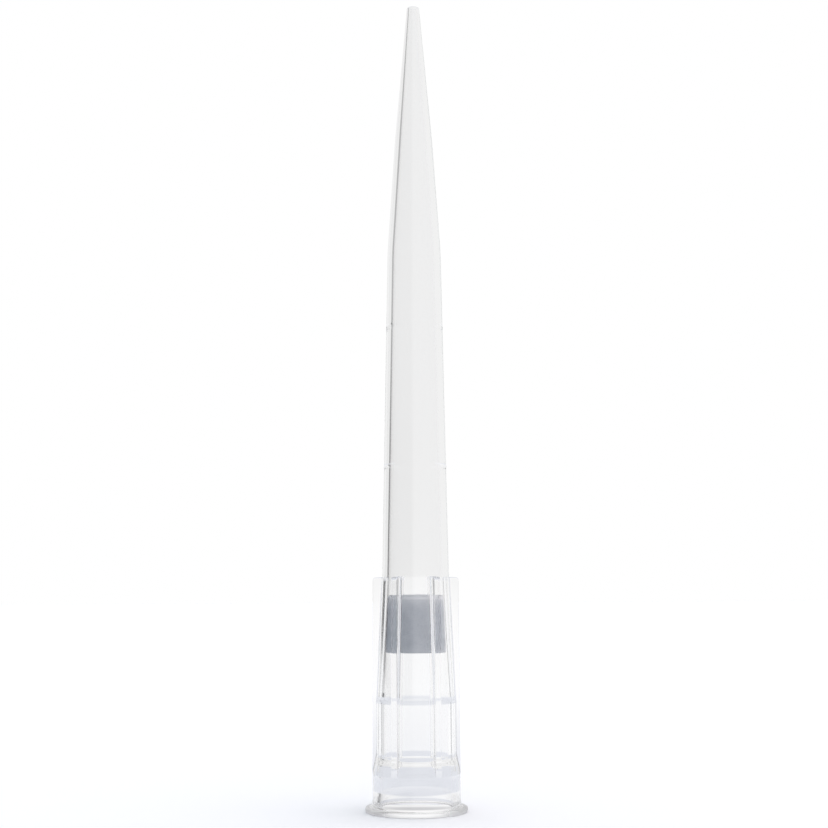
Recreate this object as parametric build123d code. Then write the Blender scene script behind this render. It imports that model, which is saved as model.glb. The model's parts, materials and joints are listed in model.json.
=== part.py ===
"""Graduated filter pipette tip, standing on its flanged wide end with its point up.

Units are millimetres. The origin is the centre of the flange's lower face, +Z runs
along the tip towards its point, and the nozzle of a pipette enters from below.
Two pieces: the moulded tip body, and the porous filter plug pressed into its bore.
"""

from build123d import *
import os

# ---- driving dimensions -------------------------------------------------------------
LENGTH = 60.0

FLANGE_RADIUS = 3.68
FLANGE_THICKNESS = 0.37
FLANGE_LOWER_ROUND = 0.115
FLANGE_UPPER_ROUND = 0.163
FLANGE_ROOT_RADIUS = 3.267
FLANGE_ROOT_ROUND = 0.19

SKIRT_BASE_RADIUS = 3.172
SKIRT_BASE_Z = 0.80
SKIRT_TOP_RADIUS = 3.158
SKIRT_TOP_Z = 2.67

MOUTH_RADIUS = 2.67
MOUTH_LEAD_Z = 0.73
SKIRT_BORE_RADIUS = 2.57
SKIRT_BORE_START_Z = 1.40
SKIRT_BORE_TOP_Z = 3.31

SOCKET_RADIUS = 2.35
SOCKET_START_Z = 3.64
SOCKET_END_Z = 8.11

COLLAR_FOOT_RADIUS = 2.86
COLLAR_FOOT_Z = 4.01
COLLAR_STEP_RADIUS = 2.846
COLLAR_STEP_Z = 7.67
FILTER_COLLAR_RADIUS = 2.812
FILTER_COLLAR_Z = 7.98
COLLAR_TOP_Z = 16.7

FILTER_BORE_RADIUS = 2.333
FILTER_BORE_Z = 8.42

BODY_BASE_RADIUS = 2.43
BORE_BASE_RADIUS = 1.985
SHOULDER_Z = 40.9
SHOULDER_RADIUS = 1.99
SHOULDER_BORE_RADIUS = 1.53
WAIST_Z = 49.5
WAIST_RADIUS = 1.405
POINT_RADIUS = 0.468
POINT_BORE_RADIUS = 0.305
POINT_ROUND = 0.05

# Roundings of the small steps outside and inside the collar, from the skirt upwards.
STEP_ROUNDS = (0.25, 0.63, 0.07, 0.54)
BORE_ROUNDS = (0.57, 0.57, 0.21, 0.65)

RIB_COUNT = 6
RIB_FOOT_RADIUS = 3.14
RIB_FOOT_Z = 2.60
RIB_TOP_RADIUS = 3.125
RIB_THICKNESS = 0.51
RIB_CORNER_ROUND = 0.28
RIB_ROOT_DEPTH = 0.30

MARK_HEIGHTS = (24.8, 35.2)
MARK_WIDTH = 0.28
MARK_RELIEF = 0.02
MARK_SPAN_DEG = 104.0
MARK_ROOT_DEPTH = 0.12

PLUG_BOTTOM_Z = 11.26
PLUG_TOP_Z = 15.40


def at_height(z, low, high):
    """Radius of the cone through two (radius, z) points, at height z."""
    share = (z - low[1]) / (high[1] - low[1])
    return low[0] + share * (high[0] - low[0])


def body_radius(z):
    """Outside radius of the graduated body below its shoulder."""
    return at_height(z, (BODY_BASE_RADIUS, COLLAR_TOP_Z), (SHOULDER_RADIUS, SHOULDER_Z))


def filter_bore_radius(z):
    """Bore radius of the tapered seat that holds the filter plug."""
    return at_height(z, (FILTER_BORE_RADIUS, FILTER_BORE_Z), (BORE_BASE_RADIUS, COLLAR_TOP_Z))


def revolved(points, rounds=()):
    """Solid of revolution about Z from (radius, z) points.

    rounds lists (radius, z, fillet) for the outline corners that are rounded.
    """
    with BuildPart() as solid:
        with BuildSketch(Plane.XZ) as outline:
            with BuildLine():
                Polyline(*points, close=True)
            make_face()
            for x, z, size in rounds:
                corner = outline.vertices().sort_by_distance(Vector(x, z))[0]
                fillet(corner, size)
        revolve(axis=Axis.Z)
    return solid.part


def shell():
    """The moulded wall: flange, skirt, collar, graduated body and point, with its bore."""
    outside = [
        (FLANGE_RADIUS, 0),
        (FLANGE_RADIUS, FLANGE_THICKNESS),
        (FLANGE_ROOT_RADIUS, FLANGE_THICKNESS),
        (SKIRT_BASE_RADIUS, SKIRT_BASE_Z),
        (SKIRT_TOP_RADIUS, SKIRT_TOP_Z),
        (COLLAR_FOOT_RADIUS, COLLAR_FOOT_Z),
        (COLLAR_STEP_RADIUS, COLLAR_STEP_Z),
        (FILTER_COLLAR_RADIUS, FILTER_COLLAR_Z),
        (BODY_BASE_RADIUS, COLLAR_TOP_Z),
        (SHOULDER_RADIUS, SHOULDER_Z),
        (WAIST_RADIUS, WAIST_Z),
        (POINT_RADIUS, LENGTH),
    ]
    inside = [
        (POINT_BORE_RADIUS, LENGTH),
        (SHOULDER_BORE_RADIUS, SHOULDER_Z),
        (BORE_BASE_RADIUS, COLLAR_TOP_Z),
        (FILTER_BORE_RADIUS, FILTER_BORE_Z),
        (SOCKET_RADIUS, SOCKET_END_Z),
        (SOCKET_RADIUS, SOCKET_START_Z),
        (SKIRT_BORE_RADIUS, SKIRT_BORE_TOP_Z),
        (SKIRT_BORE_RADIUS, SKIRT_BORE_START_Z),
        (MOUTH_RADIUS, MOUTH_LEAD_Z),
        (MOUTH_RADIUS, 0),
    ]
    rounds = [
        (FLANGE_RADIUS, 0, FLANGE_LOWER_ROUND),
        (FLANGE_RADIUS, FLANGE_THICKNESS, FLANGE_UPPER_ROUND),
        (FLANGE_ROOT_RADIUS, FLANGE_THICKNESS, FLANGE_ROOT_ROUND),
        (SKIRT_TOP_RADIUS, SKIRT_TOP_Z, STEP_ROUNDS[0]),
        (COLLAR_FOOT_RADIUS, COLLAR_FOOT_Z, STEP_ROUNDS[1]),
        (COLLAR_STEP_RADIUS, COLLAR_STEP_Z, STEP_ROUNDS[2]),
        (FILTER_COLLAR_RADIUS, FILTER_COLLAR_Z, STEP_ROUNDS[3]),
        (SKIRT_BORE_RADIUS, SKIRT_BORE_TOP_Z, BORE_ROUNDS[0]),
        (SOCKET_RADIUS, SOCKET_START_Z, BORE_ROUNDS[1]),
        (SOCKET_RADIUS, SOCKET_END_Z, BORE_ROUNDS[2]),
        (FILTER_BORE_RADIUS, FILTER_BORE_Z, BORE_ROUNDS[3]),
        (POINT_RADIUS, LENGTH, POINT_ROUND),
    ]
    return revolved(outside + inside, rounds)


def rib():
    """One lengthwise rib of the collar, on the +X side, rooted in the collar wall.

    Its outer face grows out of the skirt without a step.
    """
    foot_inner = SKIRT_TOP_RADIUS - RIB_ROOT_DEPTH
    collar_inner = COLLAR_FOOT_RADIUS - RIB_ROOT_DEPTH
    step_inner = FILTER_COLLAR_RADIUS - RIB_ROOT_DEPTH
    top_inner = BODY_BASE_RADIUS - RIB_ROOT_DEPTH
    with BuildPart() as plate:
        with BuildSketch(Plane.XZ) as side:
            with BuildLine():
                Polyline(
                    (foot_inner, RIB_FOOT_Z),
                    (RIB_FOOT_RADIUS, RIB_FOOT_Z),
                    (RIB_TOP_RADIUS, COLLAR_TOP_Z),
                    (top_inner, COLLAR_TOP_Z),
                    (step_inner, FILTER_COLLAR_Z),
                    (collar_inner, COLLAR_FOOT_Z),
                    close=True,
                )
            make_face()
            corner = side.vertices().sort_by_distance(Vector(RIB_TOP_RADIUS, COLLAR_TOP_Z))[0]
            fillet(corner, RIB_CORNER_ROUND)
        extrude(amount=RIB_THICKNESS / 2, both=True)
    return plate.part


def graduation(z, middle_deg):
    """One raised volume mark: an arc round one side of the body, centred on middle_deg."""
    root = body_radius(z) - MARK_ROOT_DEPTH
    low = body_radius(z - MARK_WIDTH / 2)
    high = body_radius(z + MARK_WIDTH / 2)
    crown = body_radius(z) + MARK_RELIEF
    with BuildPart() as arc:
        with BuildSketch(Plane.XZ.rotated((0, 0, middle_deg - MARK_SPAN_DEG / 2))):
            with BuildLine():
                Line((root, z - MARK_WIDTH / 2), (low, z - MARK_WIDTH / 2))
                ThreePointArc(
                    (low, z - MARK_WIDTH / 2), (crown, z), (high, z + MARK_WIDTH / 2)
                )
                Line((high, z + MARK_WIDTH / 2), (root, z + MARK_WIDTH / 2))
                Line((root, z + MARK_WIDTH / 2), (root, z - MARK_WIDTH / 2))
            make_face()
        revolve(axis=Axis.Z, revolution_arc=MARK_SPAN_DEG)
    return arc.part


def tip_body():
    """The whole clear moulding: wall, collar ribs and volume marks."""
    body = shell()
    for index in range(RIB_COUNT):
        body += rib().rotate(Axis.Z, index * 360 / RIB_COUNT)
    for height in MARK_HEIGHTS:
        for side_deg in (0, 180):
            body += graduation(height, side_deg)
    return body


def filter_plug():
    """Tapered porous plug that fills the bore between its two flat ends."""
    return revolved([
        (0, PLUG_BOTTOM_Z),
        (filter_bore_radius(PLUG_BOTTOM_Z), PLUG_BOTTOM_Z),
        (filter_bore_radius(PLUG_TOP_Z), PLUG_TOP_Z),
        (0, PLUG_TOP_Z),
    ])


def main():
    """Write one STEP file for each piece."""
    os.makedirs("parts", exist_ok=True)
    pieces = {"tip_body": tip_body(), "filter_plug": filter_plug()}
    for name, solid in pieces.items():
        solid.label = name
        export_step(solid, f"parts/{name}.step")


main()
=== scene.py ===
"""Looks of a graduated filter pipette tip that stands on its flanged wide end, point up.

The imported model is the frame. A finely turned clear moulding stands for the tip body and
a porous plug stands for the filter, each in the place that the frame gives it. Sizes in
the classes are millimetres, and everything handed to Blender is metres.
"""

import json
import logging
import math
from dataclasses import dataclass
from enum import Enum

import bpy
import numpy as np
from mathutils import Matrix, Vector


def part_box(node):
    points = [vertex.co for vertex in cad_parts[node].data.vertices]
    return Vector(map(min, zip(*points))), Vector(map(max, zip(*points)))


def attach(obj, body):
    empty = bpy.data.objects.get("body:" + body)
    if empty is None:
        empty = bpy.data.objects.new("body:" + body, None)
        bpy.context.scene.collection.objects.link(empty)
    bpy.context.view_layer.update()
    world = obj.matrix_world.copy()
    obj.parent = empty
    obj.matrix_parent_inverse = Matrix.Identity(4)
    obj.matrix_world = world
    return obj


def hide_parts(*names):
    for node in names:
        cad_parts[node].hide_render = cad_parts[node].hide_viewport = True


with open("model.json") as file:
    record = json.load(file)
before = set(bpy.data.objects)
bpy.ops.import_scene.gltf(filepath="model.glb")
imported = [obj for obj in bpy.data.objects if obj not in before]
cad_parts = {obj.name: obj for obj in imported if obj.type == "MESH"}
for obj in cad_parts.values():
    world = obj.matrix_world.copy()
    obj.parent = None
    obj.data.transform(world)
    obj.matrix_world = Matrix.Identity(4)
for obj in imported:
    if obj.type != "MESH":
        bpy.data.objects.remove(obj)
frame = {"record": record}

MM = 0.001
LEAST_TURN = 1e-4
LEAST_STEP = 1e-4
LONGEST_REACH = 0.45
log = logging.getLogger("pipette_tip")


class Piece(Enum):
    """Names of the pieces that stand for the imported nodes."""

    BODY = "clear_tip_body"
    PLUG = "porous_filter_plug"


@dataclass(frozen=True)
class Corner:
    """One corner of a turned outline, with the radius of its rounding."""

    radius: float
    height: float
    rounding: float = 0.0


# ---------------------------------------------------------------- outline and mesh helpers


def rounded_outline(corners: list[Corner], steps: int = 6) -> list[tuple[float, float]]:
    """Turn an open row of corners into outline points, with arcs at the rounded ones.

    An arc takes at most the LONGEST_REACH share of either of its sides.

    Args:
        corners: the outline's corners in order, in millimetres.
        steps: how many chords each arc has.

    Returns:
        (radius, height) points in millimetres.
    """
    points = [(corners[0].radius, corners[0].height)]
    for before, corner, after in zip(corners, corners[1:], corners[2:]):
        here = Vector((corner.radius, corner.height))
        back = Vector((before.radius, before.height)) - here
        ahead = Vector((after.radius, after.height)) - here
        turn = math.pi - back.angle(ahead)
        if corner.rounding <= 0 or turn < LEAST_TURN:
            points.append(tuple(here))
            continue
        reach = min(corner.rounding * math.tan(turn / 2),
                    LONGEST_REACH * min(back.length, ahead.length))
        bisector = (back.normalized() + ahead.normalized()).normalized()
        centre = here + bisector * math.hypot(reach, reach / math.tan(turn / 2))
        start = here + back.normalized() * reach - centre
        side = math.copysign(1, start.y * back.x - start.x * back.y)
        for step in range(steps + 1):
            arm = start.copy()
            arm.rotate(Matrix.Rotation(side * turn * step / steps, 2))
            points.append(tuple(centre + arm))
    points.append((corners[-1].radius, corners[-1].height))
    return points


def ring_mesh(name: str, rings: np.ndarray, closed_rows: bool) -> bpy.types.Object:
    """Join rings of equal point count into one smooth object.

    Args:
        name: the object's name.
        rings: array of rings x stations x 3, in metres.
        closed_rows: whether the last ring joins the first one. If not, both are capped.

    Returns:
        The new object, linked to the scene.
    """
    rows, stations, _ = rings.shape
    faces = []
    for row in range(rows if closed_rows else rows - 1):
        low, high = row * stations, (row + 1) % rows * stations
        for station in range(stations):
            after = (station + 1) % stations
            faces.append((low + station, low + after, high + after, high + station))
    if not closed_rows:
        faces.append(tuple(range(stations))[::-1])
        faces.append(tuple(range((rows - 1) * stations, rows * stations)))
    mesh = bpy.data.meshes.new(name)
    mesh.from_pydata(rings.reshape(-1, 3).tolist(), [], faces)
    mesh.shade_smooth()
    mesh.update()
    piece = bpy.data.objects.new(name, mesh)
    bpy.context.scene.collection.objects.link(piece)
    return piece


def even_normals(piece: bpy.types.Object) -> None:
    """Let large faces set the shading beside narrow roundings."""
    modifier = piece.modifiers.new("even_normals", "WEIGHTED_NORMAL")
    modifier.mode = "FACE_AREA"
    modifier.keep_sharp = False


# --------------------------------------------------------------------------- node wiring


class Graph:
    """A node tree with short ways to add nodes and wire them together."""

    def __init__(self, owner: bpy.types.Material | bpy.types.World) -> None:
        """Open the tree of a material or world."""
        owner.use_nodes = True
        self.nodes = owner.node_tree.nodes
        self.links = owner.node_tree.links

    def add(self, kind: str, settings: dict | None = None, **inputs: object) -> bpy.types.Node:
        """Add a node.

        Args:
            kind: the node's type without its ShaderNode prefix.
            settings: properties to set on the node.
            **inputs: values or sockets for its inputs, with _ for a space in their names.

        Returns:
            The new node.
        """
        node = self.nodes.new("ShaderNode" + kind)
        for key, value in (settings or {}).items():
            setattr(node, key, value)
        for key, value in inputs.items():
            self.feed(node.inputs[key.replace("_", " ")], value)
        return node

    def feed(self, socket: bpy.types.NodeSocket, value: object) -> None:
        """Wire a socket to another one, or set its value."""
        if isinstance(value, bpy.types.NodeSocket):
            self.links.new(value, socket)
        else:
            socket.default_value = value

    def math(self, operation: str, *values: object) -> bpy.types.NodeSocket:
        """Do one sum on numbers or sockets and return its result."""
        node = self.nodes.new("ShaderNodeMath")
        node.operation = operation
        for socket, value in zip(node.inputs, values):
            self.feed(socket, value)
        return node.outputs[0]

    def ease(self, value: bpy.types.NodeSocket, start: float, end: float) -> bpy.types.NodeSocket:
        """Rise smoothly from 0 to 1 while a value goes from start to end."""
        node = self.add("MapRange", {"interpolation_type": "SMOOTHSTEP"}, Value=value)
        node.inputs["From Min"].default_value = start
        node.inputs["From Max"].default_value = end
        return node.outputs[0]

    def cover(self, share: object, under: bpy.types.Node,
              over: bpy.types.Node) -> bpy.types.Node:
        """Mix two shaders by a share and return the mixing node."""
        node = self.add("MixShader", Fac=share)
        self.links.new(under.outputs[0], node.inputs[1])
        self.links.new(over.outputs[0], node.inputs[2])
        return node

    def blend(self, share: object, low: object, high: object) -> bpy.types.NodeSocket:
        """Mix two colours by a share and return the result."""
        node = self.nodes.new("ShaderNodeMix")
        node.data_type = "RGBA"
        for socket, value in zip((node.inputs[0], node.inputs[6], node.inputs[7]),
                                 (share, low, high)):
            self.feed(socket, value)
        return node.outputs[2]


# ---------------------------------------------------------------------------- the finishes


@dataclass(frozen=True)
class ClearPolypropylene:
    """Clear moulded plastic with a polished skin, faint haze and faint flow waves.

    The flange is satin at its left and right, and so, less, is the skirt's foot. Both
    set in with the distance from the plane x = 0, between a start and a full distance. There
    the colour is greyed as well, a painted shade.
    """

    colour: tuple[float, float, float] = (0.995, 0.995, 0.996)
    refraction: float = 1.49
    smooth: float = 0.002
    hazy: float = 0.012
    haze_size: float = 4.0
    wave_length: float = 1.6
    wave_height: float = 0.0002
    satin: float = 0.30
    satin_shade_colour: tuple[float, float, float] = (0.84, 0.84, 0.86)
    satin_radius: float = 3.28
    satin_top: float = 0.5
    satin_edge: float = 0.08
    satin_start: float = 0.9
    satin_full: float = 2.6
    foot_top: float = 1.5
    foot_edge: float = 0.4
    foot_start: float = 2.15
    foot_full: float = 2.7
    foot_share: float = 0.45

    def build(self) -> bpy.types.Material:
        """Make the material.

        Returns:
            The clear plastic material.
        """
        material = bpy.data.materials.new("clear_polypropylene")
        graph = Graph(material)
        shader = graph.nodes["Principled BSDF"]
        place = graph.add("TexCoord").outputs["Object"]
        haze = graph.add("TexNoise", Vector=place, Scale=1 / (self.haze_size * MM), Detail=3.0)
        sweep = graph.add("MapRange", Value=haze.outputs[0], To_Min=self.smooth, To_Max=self.hazy)
        flow = graph.add("TexNoise", Vector=place, Scale=1 / (self.wave_length * MM), Detail=1.0)
        waves = graph.add("Bump", Height=flow.outputs[0], Strength=1.0,
                          Distance=self.wave_height * MM)
        split = graph.add("SeparateXYZ", Vector=place).outputs
        flat = graph.add("CombineXYZ", X=split["X"], Y=split["Y"])
        away = graph.add("VectorMath", {"operation": "LENGTH"})
        graph.links.new(flat.outputs[0], away.inputs[0])
        inner, top = self.satin_radius, self.satin_top
        flange = graph.math(
            "MULTIPLY",
            graph.ease(away.outputs["Value"], inner * MM, (inner + self.satin_edge) * MM),
            graph.ease(split["Z"], top * MM, (top - self.satin_edge) * MM))
        aside = graph.math("ABSOLUTE", split["X"])
        ends = graph.ease(aside, self.satin_start * MM, self.satin_full * MM)
        flange = graph.math("MULTIPLY", flange, ends)
        foot = graph.math(
            "MULTIPLY", graph.ease(aside, self.foot_start * MM, self.foot_full * MM),
            graph.ease(split["Z"], self.foot_top * MM, (self.foot_top - self.foot_edge) * MM))
        foot = graph.math("MULTIPLY", foot, self.foot_share)
        satin_and_shade = graph.math("MAXIMUM", flange, foot)
        skin = graph.math("MULTIPLY_ADD", satin_and_shade, self.satin, sweep.outputs[0])
        # painted shade: the satin ends and foot are also greyed through the base colour
        graph.feed(shader.inputs["Base Color"], graph.blend(
            satin_and_shade, (*self.colour, 1.0), (*self.satin_shade_colour, 1.0)))
        shader.inputs["Transmission Weight"].default_value = 1.0
        shader.inputs["IOR"].default_value = self.refraction
        graph.feed(shader.inputs["Roughness"], skin)
        graph.feed(shader.inputs["Normal"], waves.outputs[0])
        return material


@dataclass(frozen=True)
class PorousFilter:
    """Grey sintered plastic of fine fused grains, paler towards both ends.

    The pale band at its upper rim is painted light.
    """

    colour: tuple[float, float, float] = (0.62, 0.65, 0.69)
    rim_colour: tuple[float, float, float] = (0.98, 0.99, 1.0)
    pore_colour: tuple[float, float, float] = (0.50, 0.53, 0.57)
    grain: float = 0.10
    grain_relief: float = 0.015
    pore_span: tuple[float, float] = (0.35, 0.75)
    pore_share: float = 0.4
    clump: float = 0.7
    clump_span: tuple[float, float] = (0.4, 0.7)
    clump_share: float = 0.12
    rim: float = 0.35
    rim_edge: float = 0.05
    lit_rim_share: float = 0.95
    fade: float = 1.6
    fade_share: float = 0.7
    foot: float = 0.7
    foot_share: float = 0.2

    def build(self, low: float, high: float) -> bpy.types.Material:
        """Make the material.

        Args:
            low: height of the plug's lower face, in metres.
            high: height of the plug's upper face, in metres.

        Returns:
            The porous plug material.
        """
        material = bpy.data.materials.new("porous_filter")
        graph = Graph(material)
        shader = graph.nodes["Principled BSDF"]
        place = graph.add("TexCoord").outputs["Object"]
        height = graph.add("SeparateXYZ", Vector=place).outputs["Z"]
        grains = graph.add("TexVoronoi", Vector=place, Scale=1 / (self.grain * MM))
        clumps = graph.add("TexNoise", Vector=place, Scale=1 / (self.clump * MM), Detail=4.0)
        pores = graph.ease(grains.outputs["Distance"], *self.pore_span)
        pores = graph.math("MULTIPLY", pores, self.pore_share)
        body = graph.blend(pores, (*self.colour, 1.0), (*self.pore_colour, 1.0))
        uneven = graph.ease(clumps.outputs[0], *self.clump_span)
        uneven = graph.math("MULTIPLY", uneven, self.clump_share)
        body = graph.blend(uneven, body, (*self.rim_colour, 1.0))
        top = graph.ease(height, high - self.fade * MM, high)
        top = graph.math("MULTIPLY", graph.math("POWER", top, 2.0), self.fade_share)
        # painted light: a pale band just below the upper face, as if lit from above
        lit_rim = graph.ease(height, high - (self.rim + self.rim_edge) * MM,
                           high - (self.rim - self.rim_edge) * MM)
        lit_rim = graph.math("MULTIPLY", lit_rim, self.lit_rim_share)
        foot = graph.ease(height, low + self.foot * MM, low)
        foot = graph.math("MULTIPLY", foot, self.foot_share)
        paler = graph.math("MAXIMUM", graph.math("MAXIMUM", top, foot), lit_rim)
        graph.feed(shader.inputs["Base Color"],
                   graph.blend(paler, body, (*self.rim_colour, 1.0)))
        bump = graph.add("Bump", Height=grains.outputs["Distance"], Strength=0.5,
                         Distance=self.grain_relief * MM)
        graph.feed(shader.inputs["Normal"], bump.outputs[0])
        rough = graph.add("MapRange", Value=clumps.outputs[0], To_Min=0.8, To_Max=1.0)
        graph.feed(shader.inputs["Roughness"], rough.outputs[0])
        shader.inputs["Specular IOR Level"].default_value = 0.2
        return material


@dataclass(frozen=True)
class UnlitSide:
    """The dark left side of the room, which only light turned far aside can show.

    Angles are in degrees. start, full, fade and end are turned from straight ahead to the
    left, and each span is the climb above the horizon over which something sets in. From
    the horizon down to near_span the dark side starts nearer to straight ahead. It is
    darkest at the horizon, paler on the floor and up high, and gone past clear_span.
    """

    start: float = 42.0
    full: float = 50.0
    fade: float = 160.0
    end: float = 179.0
    horizon: float = 1.6
    horizon_edge: float = 0.3
    low_widening: float = 7.0
    near_span: tuple[float, float] = (-6.5, -5.0)
    level: float = 0.22
    low_level: float = 0.03
    floor_level: float = 0.72
    floor_span: tuple[float, float] = (-0.2, -2.2)
    clear_span: tuple[float, float] = (-5.8, -7.2)
    high_level: float = 0.50
    high_span: tuple[float, float] = (3.0, 14.0)
    most_crossings: float = 3.5
    wound_crossings: float = 4.5
    wound_loss: float = 0.55
    wound_span: tuple[float, float] = (-9.5, -6.5)

    def shade(self, graph: Graph, way: object, climb: object,
              path: object) -> bpy.types.NodeSocket:
        """Return how bright the room is in one direction, from 0 to 1.

        Light that came straight through both walls, which fills the inside, passes two
        outsides and two bores, and never shows the dark side. Light that passed more
        surfaces than that has wound its way through the plastic and lost some strength.

        Args:
            graph: the tree to wire in.
            way: the outputs that hold the direction's X and Y.
            climb: the direction's angle above the horizon, in degrees.
            path: the outputs of a Light Path node.

        Returns:
            The brightness, as a socket.
        """
        aside = graph.math("ARCTAN2", graph.math("MULTIPLY", way["X"], -1.0), way["Y"])
        aside = graph.math("MULTIPLY", aside, 180 / math.pi)
        low = graph.ease(climb, self.horizon + self.horizon_edge,
                         self.horizon - self.horizon_edge)
        near = graph.math("MULTIPLY", low, graph.ease(climb, *self.near_span))
        wide = graph.math("MULTIPLY_ADD", near, self.low_widening, aside)
        unlit = graph.math("MULTIPLY", graph.ease(wide, self.start, self.full),
                           graph.ease(aside, self.end, self.fade))
        edge = graph.math("LESS_THAN", path["Transmission Depth"], self.most_crossings)
        unlit = graph.math("MULTIPLY", unlit, edge)
        level = graph.math("MULTIPLY_ADD", graph.ease(climb, *self.floor_span),
                           self.floor_level - self.low_level, self.low_level)
        level = graph.math("MULTIPLY_ADD", graph.ease(climb, *self.clear_span),
                           1.0 - self.floor_level, level)
        level = graph.math("MULTIPLY_ADD", graph.math("SUBTRACT", 1.0, low),
                           self.level - self.low_level, level)
        level = graph.math("MULTIPLY_ADD", graph.ease(climb, *self.high_span),
                           self.high_level - self.level, level)
        loss = graph.math("MULTIPLY", unlit, graph.math("SUBTRACT", 1.0, level))
        shade = graph.math("SUBTRACT", 1.0, loss)
        wound = graph.math("GREATER_THAN", path["Transmission Depth"], self.wound_crossings)
        wound = graph.math("MULTIPLY", wound, self.wound_loss)
        wound = graph.math("MULTIPLY", wound, graph.ease(climb, *self.wound_span))
        return graph.math("MULTIPLY", shade, graph.math("SUBTRACT", 1.0, wound))


@dataclass(frozen=True)
class PaleFloor:
    """White matt table top.

    The clear plastic shows the patch that it stands on. The patch glows with a painted
    shadow, dim in a band across its middle, which lies a little to the front as the light
    comes from behind. Farther out the plastic shows the room's sweep.
    """

    colour: tuple[float, float, float] = (1.0, 1.0, 1.0)
    painted_shadow_colour: tuple[float, float, float] = (0.60, 0.60, 0.615)
    rim_colour: tuple[float, float, float] = (0.97, 0.97, 0.975)
    dim_place: float = -0.35
    dim_stretch: float = 0.3
    dim_core: float = 0.2
    rim: float = 1.7
    patch: float = 3.7
    sweep: float = 5.4

    def build(self) -> bpy.types.Material:
        """Make the material.

        Returns:
            The floor material.
        """
        material = bpy.data.materials.new("pale_floor")
        graph = Graph(material)
        shader = graph.nodes["Principled BSDF"]
        shader.inputs["Base Color"].default_value = (*self.colour, 1.0)
        shader.inputs["Roughness"].default_value = 1.0
        shader.inputs["Specular IOR Level"].default_value = 0.0
        place = graph.add("TexCoord").outputs["Object"]
        away = graph.add("VectorMath", {"operation": "LENGTH"})
        graph.links.new(place, away.inputs[0])
        away = away.outputs["Value"]
        band = graph.add("Mapping", {"vector_type": "TEXTURE"}, Vector=place)
        band.inputs["Location"].default_value = (0.0, self.dim_place * MM, 0.0)
        band.inputs["Scale"].default_value = (1 / self.dim_stretch, 1.0, 1.0)
        depth = graph.add("VectorMath", {"operation": "LENGTH"})
        graph.links.new(band.outputs[0], depth.inputs[0])
        # painted shadow: the glowing patch dims towards its middle and is shown only through the
        # plastic
        light = graph.ease(depth.outputs["Value"], self.dim_core * MM, self.rim * MM)
        patch = graph.blend(light, (*self.painted_shadow_colour, 1.0), (*self.rim_colour, 1.0))
        shown = graph.cover(graph.ease(away, self.patch * MM, self.sweep * MM),
                            graph.add("Emission", Color=patch),
                            graph.add("BsdfTransparent"))
        path = graph.add("LightPath").outputs
        through = graph.math("MULTIPLY", path["Is Transmission Ray"],
                             graph.math("LESS_THAN", path["Diffuse Depth"], 0.5))
        surface = graph.cover(through, shader, shown)
        graph.links.new(surface.outputs[0], graph.nodes["Material Output"].inputs["Surface"])
        return material


# ------------------------------------------------------------------------------ the pieces


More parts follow.
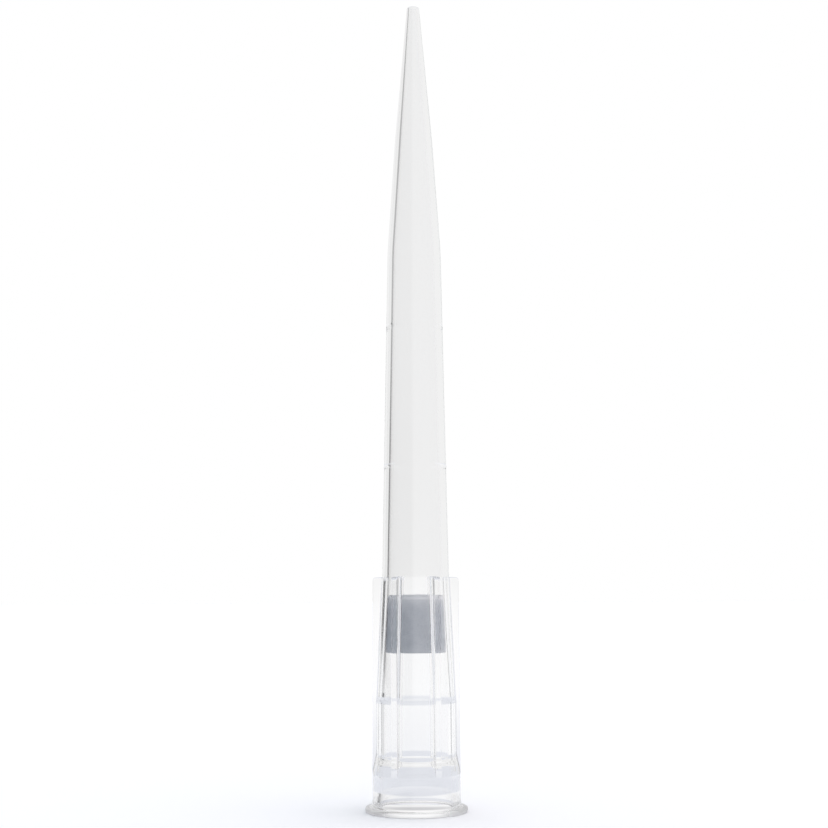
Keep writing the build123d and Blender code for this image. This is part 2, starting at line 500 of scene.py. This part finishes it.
@dataclass
class TipBody:
    """The clear moulding: flange, skirt, ribbed collar, graduated body and point.

    Each *_rounding is the radius at the corner that it is named after. The outlines meet
    on the flange's lower face, at the skirt's foot, and outside and inside just below the
    point. body_ring_end is how far below the point the body's evenly spaced rings stop.
    """

    length: float
    flange_radius: float
    socket_radius: float
    socket_start: float
    socket_length: float
    flange_thickness: float = 0.37
    flange_lower_rounding: float = 0.115
    flange_upper_rounding: float = 0.163
    flange_root_radius: float = 3.267
    flange_root_rounding: float = 0.19
    base_seam_radius: float = 3.0
    skirt_base_radius: float = 3.172
    skirt_foot: float = 0.80
    skirt_top_radius: float = 3.158
    skirt_top: float = 2.67
    skirt_top_rounding: float = 0.25
    mouth_radius: float = 2.67
    mouth_rounding: float = 0.04
    mouth_lead: float = 0.73
    mouth_lead_rounding: float = 0.076
    mouth_end: float = 1.40
    mouth_end_rounding: float = 0.79
    skirt_bore_radius: float = 2.57
    skirt_bore_top: float = 3.31
    skirt_bore_rounding: float = 0.57
    socket_start_rounding: float = 0.57
    socket_end_rounding: float = 0.21
    collar_foot_radius: float = 2.86
    collar_foot: float = 4.01
    collar_foot_rounding: float = 0.63
    collar_step_radius: float = 2.846
    collar_step: float = 7.67
    collar_step_rounding: float = 0.07
    filter_collar_radius: float = 2.812
    filter_collar: float = 7.98
    filter_collar_rounding: float = 0.54
    collar_top: float = 16.7
    filter_bore_radius: float = 2.333
    filter_bore: float = 8.42
    filter_bore_rounding: float = 0.65
    body_base_radius: float = 2.43
    bore_base_radius: float = 1.985
    shoulder: float = 40.9
    shoulder_radius: float = 1.99
    shoulder_bore_radius: float = 1.53
    shoulder_rounding: float = 25.0
    waist: float = 49.5
    waist_radius: float = 1.405
    waist_rounding: float = 60.0
    point_radius: float = 0.468
    point_rounding: float = 0.05
    point_bore_radius: float = 0.305
    point_bore_rounding: float = 0.03
    point_seam_depth: float = 0.6
    point_seam_radius: float = 0.521
    point_seam_bore_radius: float = 0.343
    rib_count: int = 6
    rib_top_radius: float = 3.135
    rib_thickness: float = 0.51
    rib_corner: float = 0.28
    crest_rounding: float = 0.05
    crest_top_rounding: float = 0.03
    root_fillet: float = 0.09
    mark_heights: tuple[float, ...] = (24.8, 35.2)
    mark_width: float = 0.28
    mark_relief: float = 0.018
    mark_half_span: float = math.radians(52.0)
    mark_fade: float = math.radians(4.0)
    foot_rings: int = 18
    foot_ring_reach: float = 0.3
    collar_ring_span: tuple[float, float] = (4.6, 16.0)
    collar_rings: int = 20
    body_ring_start: float = 18.0
    body_ring_end: float = 1.0
    body_rings: int = 36
    above_rib_rings: tuple[float, ...] = (0.02, 0.06, 0.15, 0.4)
    rib_top_rings: int = 8
    rib_top_sweep: float = 1.45
    mark_rings: int = 15
    mark_ring_reach: float = 1.4
    least_ring_gap: float = 0.004

    def wall_outline(self) -> list[tuple[float, float]]:
        """Return the outside of the wall, from mid skirt up to just below the point."""
        return rounded_outline([
            Corner(self.skirt_base_radius, self.skirt_foot),
            Corner(self.skirt_top_radius, self.skirt_top, self.skirt_top_rounding),
            Corner(self.collar_foot_radius, self.collar_foot, self.collar_foot_rounding),
            Corner(self.collar_step_radius, self.collar_step, self.collar_step_rounding),
            Corner(self.filter_collar_radius, self.filter_collar, self.filter_collar_rounding),
            Corner(self.body_base_radius, self.collar_top),
            Corner(self.shoulder_radius, self.shoulder, self.shoulder_rounding),
            Corner(self.waist_radius, self.waist, self.waist_rounding),
            Corner(self.point_seam_radius, self.length - self.point_seam_depth),
        ])

    def base_outline(self) -> list[tuple[float, float]]:
        """Return the flange's outline, from its lower face round its edge to the skirt."""
        return rounded_outline([
            Corner(self.base_seam_radius, 0.0),
            Corner(self.flange_radius, 0.0, self.flange_lower_rounding),
            Corner(self.flange_radius, self.flange_thickness, self.flange_upper_rounding),
            Corner(self.flange_root_radius, self.flange_thickness, self.flange_root_rounding),
            Corner(self.skirt_base_radius, self.skirt_foot),
        ])

    def point_outline(self) -> list[tuple[float, float]]:
        """Return the point's outline, over the end face and into the bore."""
        return rounded_outline([
            Corner(self.point_seam_radius, self.length - self.point_seam_depth),
            Corner(self.point_radius, self.length, self.point_rounding),
            Corner(self.point_bore_radius, self.length, self.point_bore_rounding),
            Corner(self.point_seam_bore_radius, self.length - self.point_seam_depth),
        ])

    def filter_bore_at(self, height: float) -> float:
        """Return the bore's radius at a height inside the filter's tapered seat."""
        climb = (height - self.filter_bore) / (self.collar_top - self.filter_bore)
        return self.filter_bore_radius + climb * (self.bore_base_radius - self.filter_bore_radius)

    def bore_outline(self) -> list[tuple[float, float]]:
        """Return the bore, from just inside the point down to the mouth."""
        socket_end = self.socket_start + self.socket_length
        return rounded_outline([
            Corner(self.point_seam_bore_radius, self.length - self.point_seam_depth),
            Corner(self.shoulder_bore_radius, self.shoulder, self.shoulder_rounding),
            Corner(self.bore_base_radius, self.collar_top),
            Corner(self.filter_bore_radius, self.filter_bore, self.filter_bore_rounding),
            Corner(self.socket_radius, socket_end, self.socket_end_rounding),
            Corner(self.socket_radius, self.socket_start, self.socket_start_rounding),
            Corner(self.skirt_bore_radius, self.skirt_bore_top, self.skirt_bore_rounding),
            Corner(self.skirt_bore_radius, self.mouth_end, self.mouth_end_rounding),
            Corner(self.mouth_radius, self.mouth_lead, self.mouth_lead_rounding),
            Corner(self.mouth_radius, 0.0, self.mouth_rounding),
            Corner(self.base_seam_radius, 0.0),
        ])

    def half_sector(self, core: float, crest: float, inset: float) -> np.ndarray:
        """Outline from the middle of a rib to the middle of the next valley.

        Args:
            core: radius of the wall that the rib stands on.
            crest: radius of the rib's outer face.
            inset: how far the rib's faces are drawn in, for its rounded top.

        Returns:
            Points as (along the rib, across the rib), in millimetres.
        """
        height = max(crest - core, LEAST_STEP)
        half = self.rib_thickness / 2 - inset
        corner = min(self.crest_rounding, height / 3)
        fillet = min(self.root_fillet, height / 3)
        root_x = math.sqrt((core + fillet) ** 2 - (half + fillet) ** 2)
        root_y = half + fillet
        top_x = math.sqrt((crest - corner) ** 2 - (half - corner) ** 2)
        top_angle = math.atan2(half - corner, top_x)
        points = [(crest * math.cos(a), crest * math.sin(a))
                  for a in np.linspace(0, top_angle, 4)[:-1]]
        points += [(top_x + corner * math.cos(a), half - corner + corner * math.sin(a))
                   for a in np.linspace(top_angle, math.pi / 2, 5)]
        for share in (0.15, 0.5, 0.85):
            points.append((top_x + (root_x - top_x) * share, half))
        end_angle = math.atan2(root_y, root_x)
        points += [(root_x + fillet * math.cos(a), root_y + fillet * math.sin(a))
                   for a in np.linspace(-math.pi / 2, -math.pi + end_angle, 6)]
        edge = math.pi / self.rib_count
        points += [(core * math.cos(a), core * math.sin(a))
                   for a in np.linspace(end_angle, edge, 14)[1:]]
        return np.array(points)

    def section(self, core: float, crest: float = 0.0, inset: float = 0.0) -> np.ndarray:
        """Closed cross-section of the outside, with its ribs where they stand proud.

        Args:
            core: radius of the wall.
            crest: radius of the ribs' outer faces, or 0 where there are none.
            inset: how far the ribs' faces are drawn in.

        Returns:
            Points as x, y in millimetres, anticlockwise from +X.
        """
        if crest > core + LEAST_STEP:
            half = self.half_sector(core, crest, inset)
        else:
            half = self.half_sector(self.filter_collar_radius, self.rib_top_radius, 0.0)
            half = half / np.linalg.norm(half, axis=1, keepdims=True) * core
        mirrored = half[1:-1][::-1] * (1, -1)
        turn = 2 * math.pi / self.rib_count
        spin = np.array([[math.cos(turn), math.sin(turn)], [-math.sin(turn), math.cos(turn)]])
        sector = np.vstack([half, mirrored @ spin])
        ring, rotation = [], np.eye(2)
        for _ in range(self.rib_count):
            ring.append(sector @ rotation)
            rotation = rotation @ spin
        return np.vstack(ring)

    def crest_at(self, height: float) -> float:
        """Return the ribs' outer radius at a height, or 0 above their tops."""
        climb = (height - self.skirt_top) / (self.collar_top - self.skirt_top)
        crest = self.skirt_top_radius + (self.rib_top_radius - self.skirt_top_radius) * climb
        corner = self.rib_corner
        over = height - (self.collar_top - corner)
        if over > corner:
            return 0.0
        if over <= 0:
            return crest
        return crest - corner + math.sqrt(corner * corner - over * over)

    def inset_at(self, height: float) -> float:
        """Return how far the ribs' faces are drawn in at a height, for their rounded tops."""
        rounding = self.crest_top_rounding
        over = max(height - (self.collar_top - rounding), 0.0)
        return rounding - math.sqrt(max(rounding ** 2 - over ** 2, 0.0))

    def relief(self, height: float, angles: np.ndarray) -> np.ndarray:
        """How far the volume marks stand proud at a height.

        Args:
            height: height on the wall, in millimetres.
            angles: angles of the stations round the axis.

        Returns:
            The relief at each station, in millimetres.
        """
        from_side = np.abs(np.arctan2(np.sin(2 * angles), np.cos(2 * angles))) / 2
        fade = np.clip((self.mark_half_span - from_side) / self.mark_fade + 0.5, 0, 1)
        total = np.zeros_like(angles)
        for mark in self.mark_heights:
            offset = (height - mark) / (self.mark_width / 2)
            if abs(offset) < 1:
                total += self.mark_relief * math.cos(offset * math.pi / 2)
        return total * fade * fade * (3 - 2 * fade)

    def wall_heights(self, outline: list[tuple[float, float]]) -> list[float]:
        """Heights at which the wall needs a ring.

        Rings are closest where the outline turns, at the ribs' tops and at the marks.

        Args:
            outline: the wall's outline.

        Returns:
            The heights, rising, in millimetres.
        """
        heights = [height for _, height in outline]
        spans = (
            (self.skirt_top, self.collar_foot + self.foot_ring_reach, self.foot_rings),
            (*self.collar_ring_span, self.collar_rings),
            (self.body_ring_start, self.length - self.body_ring_end, self.body_rings),
        )
        for lowest, highest, count in spans:
            heights += list(np.linspace(lowest, highest, count))
        heights += [self.collar_top - self.rib_corner * math.cos(angle)
                    for angle in np.linspace(0, self.rib_top_sweep, self.rib_top_rings)]
        heights += [self.collar_top + step for step in self.above_rib_rings]
        reach = self.mark_ring_reach
        for mark in self.mark_heights:
            heights += [mark + self.mark_width / 2 * share
                        for share in np.linspace(-reach, reach, self.mark_rings)]
        ordered = sorted(h for h in heights if outline[0][1] <= h <= outline[-1][1])
        kept = [ordered[0]]
        for height in ordered[1:]:
            if height - kept[-1] > self.least_ring_gap:
                kept.append(height)
        return kept

    def wall_rings(self) -> list[np.ndarray]:
        """Return the rings of the ribbed and graduated outside, from skirt to point."""
        outline = self.wall_outline()
        radii, heights = zip(*outline)
        rings = []
        for height in self.wall_heights(outline):
            core = float(np.interp(height, heights, radii))
            flat = self.section(core, self.crest_at(height), self.inset_at(height))
            angles = np.arctan2(flat[:, 1], flat[:, 0])
            proud = self.relief(height, angles)
            flat = flat * (1 + proud / core)[:, None]
            rings.append(np.column_stack([flat, np.full(len(flat), height)]))
        return rings

    def turned_rings(self, outline: list[tuple[float, float]]) -> list[np.ndarray]:
        """Return plain round rings along an outline."""
        rings = []
        for radius, height in outline:
            flat = self.section(radius)
            rings.append(np.column_stack([flat, np.full(len(flat), height)]))
        return rings

    def build(self, material: bpy.types.Material) -> bpy.types.Object:
        """Make the moulding in its place and dress it.

        Args:
            material: the clear plastic.

        Returns:
            The piece.
        """
        rings = self.turned_rings(self.base_outline())[:-1]
        rings += self.wall_rings()[:-1]
        rings += self.turned_rings(self.point_outline())[:-1]
        rings += self.turned_rings(self.bore_outline())[:-1]
        piece = ring_mesh(Piece.BODY.value, np.array(rings) * MM, closed_rows=True)
        even_normals(piece)
        piece.data.materials.append(material)
        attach(piece, "root")
        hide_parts("tip_body")
        return piece


@dataclass
class FilterPlug:
    """The porous plug: a tapered pellet with softened ends, a little clear of its seat."""

    low: float
    high: float
    low_radius: float
    high_radius: float
    gap: float = 0.012
    low_rounding: float = 0.12
    high_rounding: float = 0.25
    pole_radius: float = 0.02
    ring_gap: float = 0.12
    stations: int = 160

    def build(self, material: bpy.types.Material) -> bpy.types.Object:
        """Make the plug in its place and dress it.

        Args:
            material: the porous plastic.

        Returns:
            The piece.
        """
        outline = rounded_outline([
            Corner(self.pole_radius, self.low),
            Corner(self.low_radius - self.gap, self.low, self.low_rounding),
            Corner(self.high_radius - self.gap, self.high, self.high_rounding),
            Corner(self.pole_radius, self.high),
        ], steps=8)
        fine = [outline[0]]
        for start, end in zip(outline, outline[1:]):
            count = max(1, round(math.dist(start, end) / self.ring_gap))
            for step in range(1, count + 1):
                fine.append((start[0] + (end[0] - start[0]) * step / count,
                             start[1] + (end[1] - start[1]) * step / count))
        angles = np.linspace(0, 2 * math.pi, self.stations, endpoint=False)
        rings = [np.column_stack([radius * np.cos(angles), radius * np.sin(angles),
                                  np.full(len(angles), height)]) for radius, height in fine]
        piece = ring_mesh(Piece.PLUG.value, np.array(rings) * MM, closed_rows=False)
        piece.data.materials.append(material)
        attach(piece, "root")
        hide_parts("filter_plug")
        return piece


# ------------------------------------------------------------------------------ the studio


@dataclass
class Studio:
    """Pale floor, white surround, soft light and the camera.

    Each step of the sweep is the climb above the horizon in degrees, the brightness there
    and the share of the cool tint.
    """

    camera_distance: float = 109.9
    camera_side: float = -0.06
    camera_height: float = 15.25
    camera_tilt: float = 6.98
    camera_roll: float = -0.27
    lens: float = 65.0
    sensor: float = 36.0
    nearest: float = 0.001
    farthest: float = 10.0
    clear_bounces: int = 128
    diffuse_bounces: int = 6
    floor_size: float = 8.0
    floor_gap: float = 0.02
    level: float = 1.0
    key_side: float = 0.42
    key_back: float = 0.25
    key_top: float = 0.15
    left_tint: tuple[float, ...] = (0.92, 0.99, 1.07, 1.0)
    right_tint: tuple[float, ...] = (1.02, 0.99, 1.03, 1.0)
    tint_reach: float = 0.8
    cool_red: float = -0.025
    cool_blue: float = 0.07
    sweep: tuple[tuple[float, float, float], ...] = (
        (-60, 0.55, 1.0), (-20, 0.77, 1.0), (-8, 0.77, 1.0), (-5.5, 0.875, 0.6),
        (-3.6, 1.0, 0.1), (-1, 0.985, 0.0), (1.6, 0.885, 0.0), (21, 0.885, 0.0),
        (30, 0.88, 0.0), (60, 0.90, 0.0))
    unlit: UnlitSide = UnlitSide()

    def floor(self) -> None:
        """Make the table top."""
        half = self.floor_size / 2
        corners = [(-half, -half, 0), (half, -half, 0), (half, half, 0), (-half, half, 0)]
        mesh = bpy.data.meshes.new("floor")
        mesh.from_pydata(corners, [], [(0, 1, 2, 3)])
        plane = bpy.data.objects.new("floor", mesh)
        plane.location.z = -self.floor_gap * MM
        bpy.context.scene.collection.objects.link(plane)
        plane.data.materials.append(PaleFloor().build())

    def surround(self) -> None:
        """Make the white room: a soft light, and the room that the clear plastic shows.

        The light is brighter from the right and from above. The plastic's fill shows a pale
        backdrop. Its edges, which turn light far aside, show the room's unlit left side too.
        """
        world = bpy.data.worlds.new("surround")
        bpy.context.scene.world = world
        graph = Graph(world)
        way = graph.add("TexCoord").outputs["Generated"]
        split = graph.add("SeparateXYZ", Vector=way).outputs
        climb = graph.math("MULTIPLY", graph.math("ARCSINE", split["Z"]), 180 / math.pi)
        path = graph.add("LightPath").outputs

        light = graph.math("MULTIPLY_ADD", split["X"], self.key_side, self.level)
        light = graph.math("MULTIPLY_ADD", split["Y"], self.key_back, light)
        light = graph.math("MULTIPLY_ADD", split["Z"], self.key_top, light)
        tint = graph.blend(graph.ease(split["X"], -self.tint_reach, self.tint_reach),
                           self.left_tint, self.right_tint)
        lamp = graph.add("VectorMath", {"operation": "SCALE"}, Scale=light)
        graph.links.new(tint, lamp.inputs[0])

        room = graph.add("ValToRGB", Fac=graph.math("MULTIPLY_ADD", climb, 1 / 180, 0.5))
        stops = room.color_ramp.elements
        while len(stops) < len(self.sweep):
            stops.new(0.5)
        for stop, (angle, level, cool) in zip(stops, self.sweep):
            stop.position = angle / 180 + 0.5
            stop.color = (level * (1 + self.cool_red * cool), level,
                          level * (1 + self.cool_blue * cool), 1.0)
        room = room.outputs["Color"]
        shade = self.unlit.shade(graph, split, climb, path)
        seen = graph.add("VectorMath", {"operation": "SCALE"}, Scale=shade)
        graph.links.new(room, seen.inputs[0])
        lit = graph.math("MAXIMUM", path["Is Diffuse Ray"],
                         graph.math("GREATER_THAN", path["Diffuse Depth"], 0.5))
        colour = graph.blend(lit, seen.outputs[0], lamp.outputs[0])
        colour = graph.blend(path["Is Camera Ray"], colour, (1.0, 1.0, 1.0, 1.0))
        graph.feed(graph.nodes["Background"].inputs["Color"], colour)

    def light_paths(self) -> None:
        """Let light bounce often enough inside the clear plastic."""
        cycles = bpy.context.scene.cycles
        cycles.max_bounces = self.clear_bounces
        cycles.glossy_bounces = self.clear_bounces
        cycles.transmission_bounces = self.clear_bounces
        cycles.diffuse_bounces = self.diffuse_bounces

    def camera(self) -> None:
        """Make the camera."""
        data = bpy.data.cameras.new("camera")
        data.lens = self.lens
        data.sensor_width = self.sensor
        data.clip_start = self.nearest
        data.clip_end = self.farthest
        camera = bpy.data.objects.new("camera", data)
        bpy.context.scene.collection.objects.link(camera)
        turn = Matrix.Rotation(math.radians(90 + self.camera_tilt), 4, "X")
        roll = Matrix.Rotation(math.radians(self.camera_roll), 4, "Z")
        place = Matrix.Translation(
            Vector((self.camera_side, -self.camera_distance, self.camera_height)) * MM)
        camera.matrix_world = place @ turn @ roll
        bpy.context.scene.camera = camera


def main() -> None:
    """Build the studio and the pieces, and report each one."""
    logging.basicConfig(level=logging.INFO, format="%(name)s: %(message)s")
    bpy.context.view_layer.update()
    body_low, body_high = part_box("tip_body")
    plug_low, plug_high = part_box("filter_plug")
    socket = next(m for m in frame["record"]["mounts"] if m["name"] == "nozzle_socket")
    studio = Studio()
    studio.floor()
    studio.surround()
    studio.light_paths()
    studio.camera()
    bpy.context.scene.view_settings.view_transform = "Standard"

    body = TipBody(
        length=body_high.z / MM,
        flange_radius=body_high.x / MM,
        socket_radius=socket["dims"]["r_mm"],
        socket_start=socket["pos_m"][2] / MM,
        socket_length=socket["dims"]["length_mm"],
    )
    plug = FilterPlug(
        low=plug_low.z / MM,
        high=plug_high.z / MM,
        low_radius=plug_high.x / MM,
        high_radius=body.filter_bore_at(plug_high.z / MM),
    )
    for piece in (
        body.build(ClearPolypropylene().build()),
        plug.build(PorousFilter().build(plug_low.z, plug_high.z)),
    ):
        log.info("%s: %d faces", piece.name, len(piece.data.polygons))


if __name__ == "__main__":
    main()
